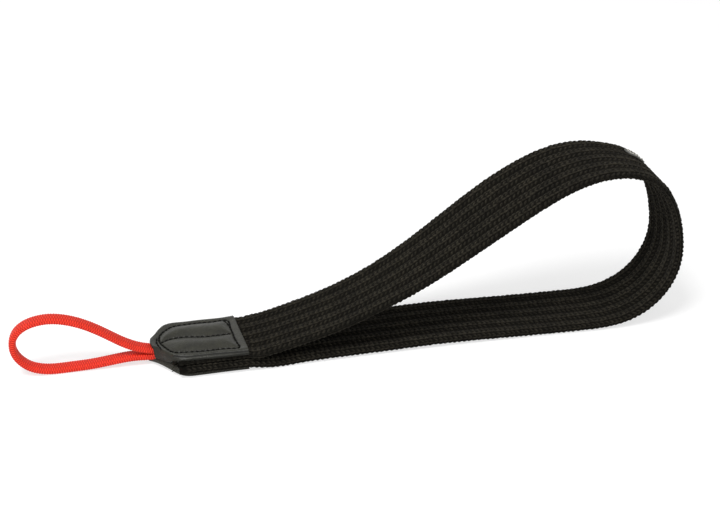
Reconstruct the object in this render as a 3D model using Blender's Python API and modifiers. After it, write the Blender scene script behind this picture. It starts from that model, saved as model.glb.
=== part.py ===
# A camera hand strap. A knitted band with five ribs is folded into a teardrop loop, and its two
# ends are sewn, one above the other, between two leather covers. The tails of a small red cord
# loop, which ties the strap to the camera, are sewn in at the covers' narrow end.
#
# Metres, +Z up. X runs from the cord loop (-X) to the far turn of the hand loop (+X). The origin
# is on the flat underside of the bottom cover, on its middle line, just inside its square end.

from math import cos, hypot, pi, radians, sin

import bmesh
import bpy
import numpy as np
from mathutils import Matrix, Vector

# Knitted band
BAND_WIDTH = 0.0240
BAND_THICKNESS = 0.0026        # over the ribs' crowns, where the band is free
SEWN_THICKNESS = 0.0022        # the same, squeezed between the covers
SQUEEZE_RUN = 0.0050           # the band recovers its thickness over this length
RIB_COUNT = 5
GROOVE_THICKNESS = 0.0017      # of the band in the grooves between its ribs
RIB_STEPS = 4                  # facets across one face of a rib
BAND_END_INSET = 0.0195        # from the covers' square end to the band's cut ends
BAND_STATIONS = 54

# Leather covers
COVER_LENGTH = 0.0281
COVER_WIDTH = 0.0212
COVER_THICKNESS = 0.0009
SQUARE_END_X = 0.0010          # the covers' square end lies this far beyond the origin
TAPER_LENGTH = 0.0064          # of the narrowing end
TIP_WIDTH = 0.0066
TIP_OVERHANG = 0.0006          # the bottom cover reaches this much further at the tip
TIP_LIFT = 0.0005              # and curls up this much there, under the cord
COVER_SLANT = 0.07             # the covers are cut this much off square
TIP_RIM_HEIGHT = 0.0040        # of the top cover's rim at the tip's corners
SHOULDER_RIM_HEIGHT = 0.0064   # of the same rim where the covers start to narrow
RIM_SAG = 0.0008               # the near shoulder sags by this much, and the far one stands up
FLANK_RUN = 0.0012             # the top cover rises from its rim to its full height over this
RIM_DROP = 0.00015
PUFF_HEIGHT = 0.00035          # of the padded channels between the seams
PUFF_RUN = 0.0011              # a channel swells to its height over this distance from a seam
COVER_ROWS = 20
COVER_TAPER_ROWS = 6
COVER_COLUMNS = 14

# Seams
SEAM_INSET = 0.0023
SEAM_ROUNDING = 0.0014
THREAD_DIAMETER = 0.0004
THREAD_CLEARANCE = 0.0002
THREAD_SINK = 0.0001           # the thread's middle lies this far below the leather's face
SEAM_STEP = 0.0028             # longest straight piece of a seam

# Spaces left between neighbours
LAYER_GAP = 0.0003

# Cord loop: a flat braid, as wide as this along Y all the way round
CORD_WIDTH = 0.0042
CORD_THICKNESS = 0.0017
CORD_STATIONS = 50
CORD_ROUTE = (
    (-0.0193, 0.0000, 0.0047), (-0.0228, 0.0000, 0.0047), (-0.0264, 0.0000, 0.0049),
    (-0.0300, 0.0000, 0.0060), (-0.0340, 0.0000, 0.0079), (-0.0405, 0.0000, 0.0124),
    (-0.0472, 0.0000, 0.0167), (-0.0524, 0.0000, 0.0188), (-0.0567, 0.0001, 0.0195),
    (-0.0612, 0.0001, 0.0191), (-0.0649, 0.0002, 0.0176), (-0.0673, 0.0003, 0.0152),
    (-0.0684, 0.0004, 0.0119), (-0.0680, 0.0005, 0.0083), (-0.0664, 0.0006, 0.0054),
    (-0.0638, 0.0007, 0.0031), (-0.0596, 0.0007, 0.0017), (-0.0524, 0.0007, 0.0013),
    (-0.0451, 0.0006, 0.0016), (-0.0377, 0.0003, 0.0025), (-0.0322, 0.0001, 0.0028),
    (-0.0275, 0.0000, 0.0026), (-0.0235, 0.0000, 0.0024), (-0.0193, 0.0000, 0.0023),
)

# Hand loop: the band's middle line from the covers up, over and down to the table. Each row
# gives the share of the reach, the drift sideways, the share of the height and the degrees by
# which the near edge leans down.
LOOP_REACH = 0.1399            # from the covers' square end to the far turn
LOOP_HEIGHT = 0.0567           # of the middle line at its top
LOOP_OVER = (
    (0.041, -0.0002, 0.098, 0), (0.104, -0.0004, 0.137, 0), (0.206, -0.0008, 0.217, 1),
    (0.299, -0.0011, 0.318, 2), (0.392, -0.0014, 0.448, 6), (0.483, -0.0017, 0.603, 10),
    (0.571, -0.0020, 0.758, 13), (0.661, -0.0024, 0.898, 12), (0.758, -0.0028, 0.990, 7),
    (0.844, -0.0027, 0.996, 3), (0.923, -0.0019, 0.905, 2), (0.969, -0.0012, 0.739, 1),
    (0.994, -0.0010, 0.568, 0), (0.998, -0.0009, 0.400, 0), (0.972, -0.0008, 0.235, 0),
    (0.918, -0.0005, 0.111, 0), (0.857, -0.0001, 0.051, 0),
)
# The same along the table, back to the covers. Each row gives the share of the reach, the drift
# sideways and how far the band lifts off the table.
LOOP_BACK = (
    (0.787, 0.0003, 0.0001), (0.685, 0.0008, 0.0000), (0.469, 0.0012, 0.0006),
    (0.254, 0.0010, 0.0003), (0.127, 0.0006, 0.0001),
)

# Label: a small bare patch on the outer face, past the top of the loop
LABEL_LENGTH = 0.0090
LABEL_WIDTH = 0.0095
LABEL_THICKNESS = 0.0004
LABEL_START = 0.1358           # along the band from the covers' square end
LABEL_STATIONS = 6

# What follows from the sizes above
BAND_END_X = SQUARE_END_X - BAND_END_INSET
TIP_X = SQUARE_END_X - COVER_LENGTH
SHOULDER_X = TIP_X + TAPER_LENGTH
LOWER_LAYER_Z = COVER_THICKNESS + LAYER_GAP + SEWN_THICKNESS / 2
UPPER_LAYER_Z = LOWER_LAYER_Z + SEWN_THICKNESS + LAYER_GAP
COVER_TOP_Z = UPPER_LAYER_Z + SEWN_THICKNESS / 2 + LAYER_GAP + COVER_THICKNESS
TAPER_SLOPE = (COVER_WIDTH - TIP_WIDTH) / 2 / TAPER_LENGTH
TAPER_LEAN = 1 / hypot(1, TAPER_SLOPE)     # turns a distance across into one square to the edge

LEATHER = ("black_leather", (0.055, 0.055, 0.048), 0.42)
KNIT = ("black_knit", (0.016, 0.014, 0.012), 0.95)
THREAD = ("black_thread", (0.010, 0.010, 0.010), 0.60)
BRAID = ("red_braid", (0.760, 0.055, 0.035), 0.65)
LABEL = ("grey_label", (0.200, 0.200, 0.185), 0.25)


def clear_scene():
    for thing in list(bpy.data.objects):
        bpy.data.objects.remove(thing, do_unlink=True)


def new_collection(name):
    collection = bpy.data.collections.new(name)
    bpy.context.scene.collection.children.link(collection)
    return collection


def plain_material(name, colour, roughness):
    material = bpy.data.materials.new(name)
    material.use_nodes = True
    shader = material.node_tree.nodes["Principled BSDF"]
    shader.inputs["Base Color"].default_value = (*colour, 1.0)
    shader.inputs["Roughness"].default_value = roughness
    shader.inputs["Metallic"].default_value = 0.0
    return material


def add_object(name, data, collection, finish=None):
    thing = bpy.data.objects.new(name, data)
    collection.objects.link(thing)
    if finish:
        data.materials.append(plain_material(f"{name}_{finish[0]}", *finish[1:]))
    return thing


def finished_mesh(name, bm):
    bmesh.ops.recalc_face_normals(bm, faces=bm.faces)
    mesh = bpy.data.meshes.new(name)
    bm.to_mesh(mesh)
    bm.free()
    mesh.shade_smooth()
    mesh.set_sharp_from_angle(angle=radians(50))
    return mesh


def smooth_line(rows, count):
    """Evenly spaced rows on the natural cubic spline through the rows given. A row starts with
    x, y and z, and what comes after them follows the same spline."""
    rows = np.array(rows, float)
    gaps = np.linalg.norm(np.diff(rows[:, :3], axis=0), axis=1)
    knots = np.concatenate(([0.0], np.cumsum(gaps)))
    system = np.eye(len(rows))
    bends = np.zeros_like(rows)
    for i in range(1, len(rows) - 1):
        before, after = gaps[i - 1], gaps[i]
        system[i, i - 1:i + 2] = before, 2 * (before + after), after
        bends[i] = 6 * ((rows[i + 1] - rows[i]) / after - (rows[i] - rows[i - 1]) / before)
    bends = np.linalg.solve(system, bends)
    fine = []
    for t in np.linspace(0, knots[-1], 30 * len(rows)):
        i = min(int(np.searchsorted(knots, t, side="right")) - 1, len(gaps) - 1)
        a = (knots[i + 1] - t) / gaps[i]
        b = 1 - a
        curved = (a**3 - a) * bends[i] + (b**3 - b) * bends[i + 1]
        fine.append(a * rows[i] + b * rows[i + 1] + curved * gaps[i] ** 2 / 6)
    return evenly_spaced(np.array(fine), count)


def evenly_spaced(rows, count, start=0.0, stop=None):
    """Rows at even distances along a line, from start to stop metres along it."""
    along = np.concatenate(([0.0], np.cumsum(np.linalg.norm(np.diff(rows[:, :3], axis=0), axis=1))))
    wanted = np.linspace(start, along[-1] if stop is None else stop, count)
    return np.stack([np.interp(wanted, along, column) for column in rows.T], axis=1)


def smooth_step(share):
    share = min(max(share, 0.0), 1.0)
    return share * share * (3 - 2 * share)


def band_route():
    """Middle line of the band, as rows of x, y, z and lean, from its upper end to its lower."""
    straight = [BAND_END_X, (BAND_END_X + SQUARE_END_X) / 2, SQUARE_END_X - SEAM_INSET, SQUARE_END_X]
    rows = [(x, 0.0, UPPER_LAYER_Z, 0.0) for x in straight]
    for reach, drift, height, lean in LOOP_OVER:
        lift = max(height * LOOP_HEIGHT, BAND_THICKNESS / 2)
        rows.append((SQUARE_END_X + reach * LOOP_REACH, drift, lift, lean))
    for reach, drift, lift in LOOP_BACK:
        rows.append((SQUARE_END_X + reach * LOOP_REACH, drift, BAND_THICKNESS / 2 + lift, 0.0))
    rows += [(x, 0.0, LOWER_LAYER_Z, 0.0) for x in reversed(straight)]
    return smooth_line(rows, 600)


def line_frames(rows):
    """For each row: its place, the direction to the near edge, and the one into the loop."""
    places = rows[:, :3]
    frames = []
    for place, ahead, lean in zip(places, np.gradient(places, axis=0), rows[:, 3]):
        ahead = Vector(ahead).normalized()
        near = Vector((0, -1, 0))
        near = (near - ahead * near.dot(ahead)).normalized()
        near = Matrix.Rotation(radians(lean), 3, ahead) @ near
        frames.append((Vector(place), near, ahead.cross(near)))
    return frames


def loft(name, rings):
    """Closed body through rings of points, with a flat face over each end."""
    bm = bmesh.new()
    loops = [[bm.verts.new(point) for point in ring] for ring in rings]
    for one, other in zip(loops, loops[1:]):
        for i in range(len(one)):
            bm.faces.new((one[i - 1], one[i], other[i], other[i - 1]))
    bm.faces.new(loops[0])
    bm.faces.new(reversed(loops[-1]))
    return finished_mesh(name, bm)


def ribbed_section(thickness):
    """Outline of the band across its ribs, as pairs of across and up."""
    rib = BAND_WIDTH / RIB_COUNT
    groove = GROOVE_THICKNESS * thickness / BAND_THICKNESS
    upper = []
    for i in range(RIB_COUNT * RIB_STEPS + 1):
        angle = pi * (i % RIB_STEPS) / RIB_STEPS
        across = (i // RIB_STEPS + 0.5 - cos(angle) / 2) * rib - BAND_WIDTH / 2
        at_edge = i in (0, RIB_COUNT * RIB_STEPS)
        upper.append((across, 0.0 if at_edge else max(sin(angle) * thickness, groove) / 2))
    return upper + [(across, -up) for across, up in reversed(upper[1:-1])]


def make_band(collection):
    rings = []
    for place, near, inward in line_frames(evenly_spaced(band_route(), BAND_STATIONS)):
        freed = smooth_step((place.x - SQUARE_END_X) / SQUEEZE_RUN)
        thickness = SEWN_THICKNESS + (BAND_THICKNESS - SEWN_THICKNESS) * freed
        rings.append([place + near * across + inward * up
                      for across, up in ribbed_section(thickness)])
    return add_object("knitted_band", loft("knitted_band", rings), collection, KNIT)


def make_label(collection):
    """Thin patch that lies on the ribs' crowns and follows the band's bend."""
    start = BAND_END_INSET + LABEL_START
    rows = evenly_spaced(band_route(), LABEL_STATIONS, start, start + LABEL_LENGTH)
    inner = BAND_THICKNESS / 2 + LAYER_GAP
    outer = inner + LABEL_THICKNESS
    half = LABEL_WIDTH / 2
    corners = ((-half, inner), (half, inner), (half, outer), (-half, outer))
    rings = [[place + near * across - inward * out for across, out in corners]
             for place, near, inward in line_frames(rows)]
    return add_object("label_patch", loft("label_patch", rings), collection, LABEL)


def taper_half_width(x):
    """Half the covers' width at x, on the narrowing sides' lines carried on past both ends."""
    return TIP_WIDTH / 2 + (x - TIP_X) * TAPER_SLOPE


def slanted(x, y):
    return x - COVER_SLANT * y, y


def edge_distance(x, y):
    """How far a place on the covers lies inside their outline."""
    taper = (taper_half_width(x) - abs(y)) * TAPER_LEAN
    return min(COVER_WIDTH / 2 - abs(y), SQUARE_END_X - x, x - TIP_X, taper)


def cover_height(x, y):
    """Height of the top cover's outer face."""
    inside = edge_distance(x, y)
    seam = min(abs(inside - SEAM_INSET), abs(y) if inside > SEAM_INSET else COVER_WIDTH)
    puff = PUFF_HEIGHT * smooth_step(seam / PUFF_RUN) if inside > SEAM_INSET else 0.0
    rim = RIM_DROP * max(1 - inside / SEAM_INSET, 0.0) ** 2
    full = COVER_TOP_Z + puff - rim
    along = min(max((x - TIP_X) / TAPER_LENGTH, 0.0), 1.0)
    rim_height = TIP_RIM_HEIGHT + (SHOULDER_RIM_HEIGHT - TIP_RIM_HEIGHT) * along
    rim_height = min(rim_height + RIM_SAG * y / (COVER_WIDTH / 2), full)
    taper = (taper_half_width(x) - abs(y)) * TAPER_LEAN
    rise = sin(pi / 2 * min(max(taper, 0.0) / FLANK_RUN, 1.0))
    return rim_height + (full - rim_height) * rise


def bottom_height(x, y):
    """Height of the bottom cover's inner face."""
    return COVER_THICKNESS + TIP_LIFT * smooth_step((SHOULDER_X - x) / TAPER_LENGTH)


def rounded_loop(corners, radius, steps):
    """Closed outline with each corner turned into a short curve."""
    points = []
    for i, corner in enumerate(corners):
        corner = Vector(corner)
        before = Vector(corners[i - 1]) - corner
        after = Vector(corners[(i + 1) % len(corners)]) - corner
        first = corner + before.normalized() * radius
        last = corner + after.normalized() * radius
        for k in range(steps + 1):
            t = k / steps
            points.append(first * (1 - t) ** 2 + corner * 2 * t * (1 - t) + last * t**2)
    return points


def with_steps(points, longest, closed):
    """The same line, with straight stretches divided so that no step is too long."""
    ends = points[1:] + points[:1] if closed else points[1:]
    line = []
    for one, other in zip(points, ends):
        parts = max(1, round((other - one).length / longest))
        line += [one.lerp(other, k / parts) for k in range(parts)]
    return line if closed else line + [points[-1]]


def edge_seam():
    """Seam that runs round the covers at SEAM_INSET from their outline."""
    right = SQUARE_END_X - SEAM_INSET
    left = TIP_X + SEAM_INSET
    side = COVER_WIDTH / 2 - SEAM_INSET
    across = SEAM_INSET / TAPER_LEAN
    shoulder = TIP_X + (side + across - TIP_WIDTH / 2) / TAPER_SLOPE
    tip = taper_half_width(left) - across
    corners = ((right, side), (shoulder, side), (left, tip),
               (left, -tip), (shoulder, -side), (right, -side))
    return with_steps(rounded_loop(corners, SEAM_ROUNDING, 2), SEAM_STEP, closed=True)


def middle_seam():
    """Seam along the covers' middle, which stops just short of the edge seam at both ends."""
    space = THREAD_DIAMETER + THREAD_CLEARANCE
    right = SQUARE_END_X - SEAM_INSET - space
    left = TIP_X + SEAM_INSET + space
    return with_steps([Vector((right, 0)), Vector((left, 0))], SEAM_STEP, closed=False)


def seam_places(seam, on_top):
    """The thread's middle line along a seam, on the top cover or under the bottom one."""
    places = []
    for x, y in seam:
        under = bottom_height(x, y) - COVER_THICKNESS + THREAD_DIAMETER / 2
        z = cover_height(x, y) - THREAD_SINK if on_top else under
        places.append((*slanted(x, y), z))
    return places


def tube_curve(name, places, radius, closed=False, resolution=1):
    curve = bpy.data.curves.new(name, "CURVE")
    curve.dimensions = "3D"
    curve.bevel_depth = radius
    curve.bevel_resolution = resolution
    curve.use_fill_caps = True
    spline = curve.splines.new("POLY")
    spline.points.add(len(places) - 1)
    for point, place in zip(spline.points, places):
        point.co = (*place, 1.0)
    spline.use_cyclic_u = closed
    return curve


def tube_cutter(name, places, radius, closed, collection):
    """A mesh tube that cuts a seam's groove."""
    guide = add_object(name + "_guide", tube_curve(name, places, radius, closed), collection)
    bpy.context.view_layer.update()
    mesh = bpy.data.meshes.new_from_object(guide.evaluated_get(bpy.context.evaluated_depsgraph_get()))
    bpy.data.objects.remove(guide, do_unlink=True)
    bm = bmesh.new()
    bm.from_mesh(mesh)
    bmesh.ops.remove_doubles(bm, verts=bm.verts, dist=0.00001)
    bmesh.ops.recalc_face_normals(bm, faces=bm.faces)
    bm.to_mesh(mesh)
    bm.free()
    cutter = add_object(name, mesh, collection)
    cutter.hide_render = True
    cutter.display_type = "WIRE"
    return cutter


def make_thread(name, seam, on_top, closed, collection, cutters):
    """A thread, and the cutter for the groove that holds it."""
    places = seam_places(seam, on_top)
    groove = THREAD_DIAMETER / 2 + THREAD_CLEARANCE
    curve = tube_curve(name, places, THREAD_DIAMETER / 2, closed)
    add_object(name, curve, collection, THREAD)
    return tube_cutter(name + "_groove", places, groove, closed, cutters)


def make_cover(name, height, overhang, grooves, collection):
    """A leather cover as an open sheet at the given height, thickened downwards."""
    bm = bmesh.new()
    bmesh.ops.create_grid(bm, x_segments=COVER_ROWS, y_segments=COVER_COLUMNS, size=0.5)
    taper_share = COVER_TAPER_ROWS / COVER_ROWS
    body = COVER_LENGTH - TAPER_LENGTH
    for vertex in bm.verts:
        along, across = vertex.co.x + 0.5, vertex.co.y * 2
        if along >= taper_share:
            x = SHOULDER_X + body * (along - taper_share) / (1 - taper_share)
        else:
            x = TIP_X + TAPER_LENGTH * along / taper_share
        y = across * min(COVER_WIDTH / 2, taper_half_width(x))
        z = height(x, y)
        x -= overhang * smooth_step((SHOULDER_X - x) / TAPER_LENGTH)
        vertex.co = (*slanted(x, y), z)
    cover = add_object(name, finished_mesh(name, bm), collection, LEATHER)
    if cover.data.polygons[0].normal.z < 0:
        cover.data.flip_normals()
    thick = cover.modifiers.new("thickness", "SOLIDIFY")
    thick.thickness = COVER_THICKNESS
    thick.offset = -1
    for groove in grooves:
        cut = cover.modifiers.new(groove.name, "BOOLEAN")
        cut.object = groove
        cut.operation = "DIFFERENCE"
    return cover


def make_cord(collection):
    flatness = CORD_WIDTH / CORD_THICKNESS
    places = [(x, y / flatness, z) for x, y, z in smooth_line(CORD_ROUTE, CORD_STATIONS)]
    curve = tube_curve("cord_loop", places, CORD_THICKNESS / 2, resolution=2)
    cord = add_object("cord_loop", curve, collection, BRAID)
    cord.scale.y = flatness
    return cord


def main():
    clear_scene()
    strap = new_collection("hand_strap")
    cutters = new_collection("cutters")
    make_band(strap)
    make_cord(strap)
    make_label(strap)
    for side, on_top in (("top", True), ("bottom", False)):
        grooves = [
            make_thread(f"edge_thread_{side}", edge_seam(), on_top, True, strap, cutters),
            make_thread(f"middle_thread_{side}", middle_seam(), on_top, False, strap, cutters),
        ]
        height = cover_height if on_top else bottom_height
        overhang = 0.0 if on_top else TIP_OVERHANG
        make_cover(f"{side}_cover", height, overhang, grooves, strap)


main()
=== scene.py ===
from math import cos, pi, radians, sin

import bpy
import numpy as np
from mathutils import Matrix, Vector
from mathutils.bvhtree import BVHTree


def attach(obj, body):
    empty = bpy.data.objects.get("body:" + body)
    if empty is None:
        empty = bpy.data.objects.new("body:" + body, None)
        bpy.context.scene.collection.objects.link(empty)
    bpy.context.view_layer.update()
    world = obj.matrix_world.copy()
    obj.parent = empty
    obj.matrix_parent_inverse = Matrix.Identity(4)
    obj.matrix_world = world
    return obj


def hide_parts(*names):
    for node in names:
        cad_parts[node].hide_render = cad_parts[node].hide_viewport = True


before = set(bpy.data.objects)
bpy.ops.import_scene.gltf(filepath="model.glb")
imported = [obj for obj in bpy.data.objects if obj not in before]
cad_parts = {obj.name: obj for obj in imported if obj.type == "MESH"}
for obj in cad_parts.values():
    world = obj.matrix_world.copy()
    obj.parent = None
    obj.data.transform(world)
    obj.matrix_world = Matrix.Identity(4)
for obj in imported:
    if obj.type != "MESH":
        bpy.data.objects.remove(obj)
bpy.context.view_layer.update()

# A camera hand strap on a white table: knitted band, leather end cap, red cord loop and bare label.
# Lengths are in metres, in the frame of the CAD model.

rng = np.random.default_rng(11)

# Band, close to the sizes and the route of its CAD solid
BAND_WIDTH = 0.0246
BAND_THICKNESS = 0.0026
SEWN_THICKNESS = 0.0025
SQUEEZE_RUN = 0.0050
NEAR_TUCK = 0.13                # share by which the near half narrows under the top cover
RIB_COUNT = 5
RIB_WIDTH = BAND_WIDTH / RIB_COUNT
SQUARE_END_X = 0.0010
BAND_END_X = -0.0198
LOWER_LAYER_Z = 0.0023
UPPER_LAYER_Z = 0.0048
LOOP_REACH = 0.1399
LOOP_HEIGHT = 0.0567
# shares of the reach, drift sideways, shares of the height, lean in degrees
LOOP_OVER = (
    (0.041, -0.0002, 0.098, 0), (0.104, -0.0004, 0.137, 0), (0.206, -0.0008, 0.217, 1),
    (0.299, -0.0011, 0.318, 2), (0.392, -0.0014, 0.448, 6), (0.483, -0.0017, 0.603, 10),
    (0.571, -0.0020, 0.758, 13), (0.661, -0.0024, 0.898, 12), (0.758, -0.0028, 0.992, 7),
    (0.846, -0.0027, 0.992, 1), (0.927, -0.0019, 0.903, 0), (0.973, -0.0012, 0.742, 0),
    (0.995, -0.0010, 0.566, 0), (0.999, -0.0009, 0.395, 0), (0.975, -0.0008, 0.226, 0),
    (0.922, -0.0005, 0.096, 0), (0.860, -0.0001, 0.038, 0),
)
# shares of the reach, drift sideways, lift off the table
LOOP_BACK = (
    (0.787, 0.0003, 0.0001), (0.685, 0.0008, 0.0000), (0.469, 0.0012, 0.0006),
    (0.254, 0.0010, 0.0003), (0.127, 0.0006, 0.0001), (0.052, 0.0002, 0.0000),
)

# Knit
COURSE = 0.00160               # from one stitch to the next along the band
CORE_DEPTH = 0.00095           # half thickness of a rib under its stitches
CORE_HALF_WIDTH = 0.00218
CORE_INSET = 0.0004            # of the core's ends from the band's cut ends
WALE_WIDTH = 0.00208
LEG_WIDTH = 0.00040            # half width of one leg of a stitch
LEG_DEPTH = 0.00036
LEG_LIFT = 0.00012
# legs as length, and place across the wale at their two ends as shares of its width
LYING_LEG = (0.00205, 0.27, 0.35)
RAISED_LEG = (0.00146, 0.04, 0.47)
RAISED_EXTRA = 0.00008         # more half width of a raised leg
# Painted shade and highlight in the knit's colour: the core gets a dark tone, legs darken towards
# the grooves between ribs, and strokes along each rib's far side are painted lighter
CORE_SHADE_TONE = 0.15
GROOVE_SHADE = 0.66
FAR_SIDE_HIGHLIGHT = 1.25                # painted highlight: brightness factor for the strokes along a rib's far side
GROOVE_START = 0.00125         # from a rib's crown to where the shade of its groove starts
GROOVE_RUN = 0.0008
TABLE_CLEARANCE = 0.00004

# Cord, close to the route of its CAD solid
CORD_WIDTH = 0.0043
CORD_THICKNESS = 0.0022
CORD_ROUTE = (
    (-0.0193, 0.0000, 0.0046), (-0.0228, 0.0000, 0.0046), (-0.0264, 0.0000, 0.0048),
    (-0.0300, 0.0000, 0.0057), (-0.0340, 0.0000, 0.0076), (-0.0405, 0.0000, 0.0122),
    (-0.0472, 0.0000, 0.0165), (-0.0524, 0.0000, 0.0186), (-0.0567, 0.0001, 0.0193),
    (-0.0611, 0.0001, 0.0189), (-0.0647, 0.0002, 0.0174), (-0.0671, 0.0003, 0.0150),
    (-0.0682, 0.0004, 0.0118), (-0.0678, 0.0005, 0.0082), (-0.0662, 0.0006, 0.0053),
    (-0.0636, 0.0007, 0.0029), (-0.0595, 0.0007, 0.0014), (-0.0524, 0.0007, 0.0011),
    (-0.0451, 0.0006, 0.0014), (-0.0377, 0.0003, 0.0024), (-0.0322, 0.0001, 0.0029),
    (-0.0275, 0.0000, 0.0027), (-0.0235, 0.0000, 0.0025), (-0.0193, 0.0000, 0.0024),
)
CORD_SQUARENESS = 3.6
BRAID_PITCH = 0.00074
BRAID_COLUMNS = 5
BRAID_DEPTH = 0.00019
RINGS_PER_PICK = 6
SIDES_PER_COLUMN = 12

# Leather covers
SHEET_THICKNESS = 0.0009
SHEET_ROWS = 180
SHEET_COLUMNS = 150
RIM_EXTRA = 0.0011             # more thickness at the bottom cover's narrowing rim
RIM_WIDTH = 0.0022             # how far in from that rim it reaches
NARROWING_X = -0.0170          # where that rim starts to narrow
NARROWING_RUN = 0.0040
EDGE_BULGE = 0.16              # of the cut edges, as a share of the sheet's thickness
# Cut edges from the outer face to the inner: shares of the thickness and of the bulge
TOP_EDGE = ((0.08, 0.55), (0.3, 0.95), (0.7, 0.95), (0.92, 0.55))
BOTTOM_EDGE = ((0.06, 0.5), (0.2, 1.0), (0.4, 0.6), (0.48, -1.2), (0.56, 0.6), (0.78, 1.0),
               (0.94, 0.5))
SEAM_DEPTH = 0.00022
SEAM_RUN = 0.00030
# width of the painted shade along the seams
SEAM_SHADE_RUN = 0.00030
PUFF_HEIGHT = 0.00108
PUFF_ROUNDS = 45
PUCKER_DEPTH = 0.00004
PUCKER_PITCH = 0.00083
PUFF_RUN = 0.0040
PUFF_REACH = 0.0008            # how near to a seam the puffed leather is pulled down
MARGIN_PUFF = 0.3              # height of the leather outside the seam, as a share
UNDERSIDE_PUFF = 0.35          # height underneath, as a share of that on top
PUCKER_REACH = 0.0010
STITCH_PITCH = 0.00160
STITCH_SHARE = 0.78
THREAD_RADIUS = 0.00024
THREAD_RISE = 0.00018
THREAD_DIVE = 0.00034          # how far a stitch's ends go down from its middle
FRAYED_ENDS = 170              # at each of the band's two cuts
FRAYED_INSET = 0.0003
FRAYED_FAR = -0.0090           # the frayed ends lie from here
FRAYED_NEAR = (0.0112, 0.0082)  # to here, at the upper and at the lower cut
FRAYED_LENGTHS = (0.0008, 0.0021)
FRAYED_RADII = (0.00010, 0.00019)
FRAYED_LOWEST = 0.0007

# Rows from the square end to the tip, in millimetres: the near edge and the far edge as x, y and
# z, the height of the middle, and how far the edges' roll reaches in
TOP_SHEET = (
    (2.2, -11.2, 6.1, -0.1, 11.2, 6.5, 7.05, 1.7),
    (-5.0, -11.1, 6.0, -5.8, 11.1, 6.2, 7.05, 1.8),
    (-10.0, -11.0, 6.0, -11.5, 11.3, 6.1, 7.05, 1.8),
    (-15.0, -10.8, 6.0, -16.5, 11.2, 6.1, 7.05, 1.8),
    (-18.4, -10.4, 5.7, -19.8, 11.2, 6.1, 7.05, 1.8),
    (-20.3, -9.6, 5.1, -21.9, 10.5, 6.2, 7.05, 1.7),
    (-22.2, -8.0, 4.3, -23.4, 8.8, 6.4, 7.10, 1.5),
    (-23.9, -5.9, 3.7, -24.7, 6.6, 6.4, 7.08, 1.3),
    (-25.2, -4.3, 3.5, -25.7, 4.7, 5.9, 7.02, 1.3),
    (-26.2, -3.5, 3.5, -26.5, 3.5, 5.1, 6.92, 1.3),
)
BOTTOM_SHEET = (
    (2.0, -10.5, 0.0, 0.3, 11.1, 0.0, 0.0, 2.2),
    (-5.0, -10.5, 0.0, -5.8, 11.1, 0.0, 0.0, 2.2),
    (-10.0, -10.6, 0.0, -11.5, 11.2, 0.0, 0.0, 2.2),
    (-15.0, -10.7, 0.05, -16.5, 11.2, 0.0, 0.0, 2.2),
    (-17.6, -10.6, 0.3, -19.8, 11.1, 0.1, 0.0, 2.2),
    (-19.4, -10.1, 0.8, -21.9, 10.2, 0.9, 0.05, 2.6),
    (-21.2, -8.4, 1.15, -23.4, 8.5, 1.8, 0.2, 3.0),
    (-23.2, -6.2, 1.5, -24.7, 6.4, 2.3, 0.4, 3.0),
    (-25.2, -4.0, 1.65, -26.1, 4.2, 2.1, 0.65, 2.6),
    (-27.3, -1.6, 1.6, -27.4, 1.9, 1.4, 0.8, 1.4),
)
TIP_BULGE = 0.8                # millimetres by which the tip's edge bows outwards
# Seams of the top cover in millimetres, and the same for the bottom one
EDGE_SEAM = (
    (-2.2, 8.1), (-6.0, 8.4), (-10.8, 8.5), (-16.5, 8.4), (-19.8, 7.9), (-22.2, 6.0),
    (-23.8, 3.6), (-24.4, 1.2), (-24.1, -1.0), (-23.2, -3.0), (-22.2, -4.9), (-21.2, -6.3),
    (-20.1, -7.1), (-18.3, -7.5), (-15.0, -7.8), (-9.9, -8.2), (-4.1, -8.3), (-0.5, -8.4),
    (-0.9, -5.0), (-1.4, 0.3), (-1.8, 4.2),
)
TIP_SEAM = ((-24.9, 2.0), (-25.2, -0.3), (-24.8, -2.6), (-24.1, -4.6))
CORNER_SEAM = ((-3.6, 8.0), (-2.8, 6.8), (-2.1, 5.0), (-1.7, 3.2))
# Fold where the top cover bends down at its near edge; it is dented and darkened with painted shade
FOLD = ((-20.4, -8.6), (-19.2, -9.3), (-17.2, -9.9), (-14.0, -10.1), (-9.0, -10.2),
        (-4.0, -10.4), (2.0, -10.7))
FOLD_SHARE = 0.8
# Painted shade on the top cover's rolled edges and tip, and on the rounded rim of a cover's cut
# edge
ROLL_SHADE = 0.40
RIM_SHADE = 0.55
MIDDLE_SEAM = ((-1.9, 0.0), (-7.0, 0.0), (-10.9, 0.1), (-16.7, 1.1), (-19.4, 1.0), (-21.6, 0.5),
               (-23.2, -0.5), (-24.2, -1.2))

# Label
LABEL_START = 0.1599
LABEL_LENGTH = 0.0064
LABEL_WIDTH = 0.0046
LABEL_ACROSS = -0.0068          # its middle, towards the far edge
LABEL_THICKNESS = 0.0004
LABEL_LIFT = 0.00135
LABEL_CORNER = 0.22            # rounding of its corners, as a share
LABEL_DIP = 0.00012            # by which it follows the ribs
LABEL_ROLL = 0.00012           # by which its rim is rounded
LABEL_SEAM_INSET = 0.0007
LABEL_STITCH = 0.0013
LABEL_THREAD_RADIUS = 0.00016
LABEL_THREAD_RISE = 0.00016

# Camera, fitted to the photograph
LOOK_AT = (0.039325, 0.0, 0.027519)
CAMERA_DISTANCE = 0.406646
CAMERA_AZIMUTH = 12.118
CAMERA_ELEVATION = 28.896
CAMERA_LENS = 65.275


def unit(vectors):
    return vectors / np.linalg.norm(vectors, axis=-1, keepdims=True)


def lengths_of(rows):
    return np.concatenate(([0.0], np.cumsum(np.linalg.norm(np.diff(rows[:, :3], axis=0), axis=1))))


def smooth_step(share):
    share = np.clip(share, 0.0, 1.0)
    return share * share * (3 - 2 * share)


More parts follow.
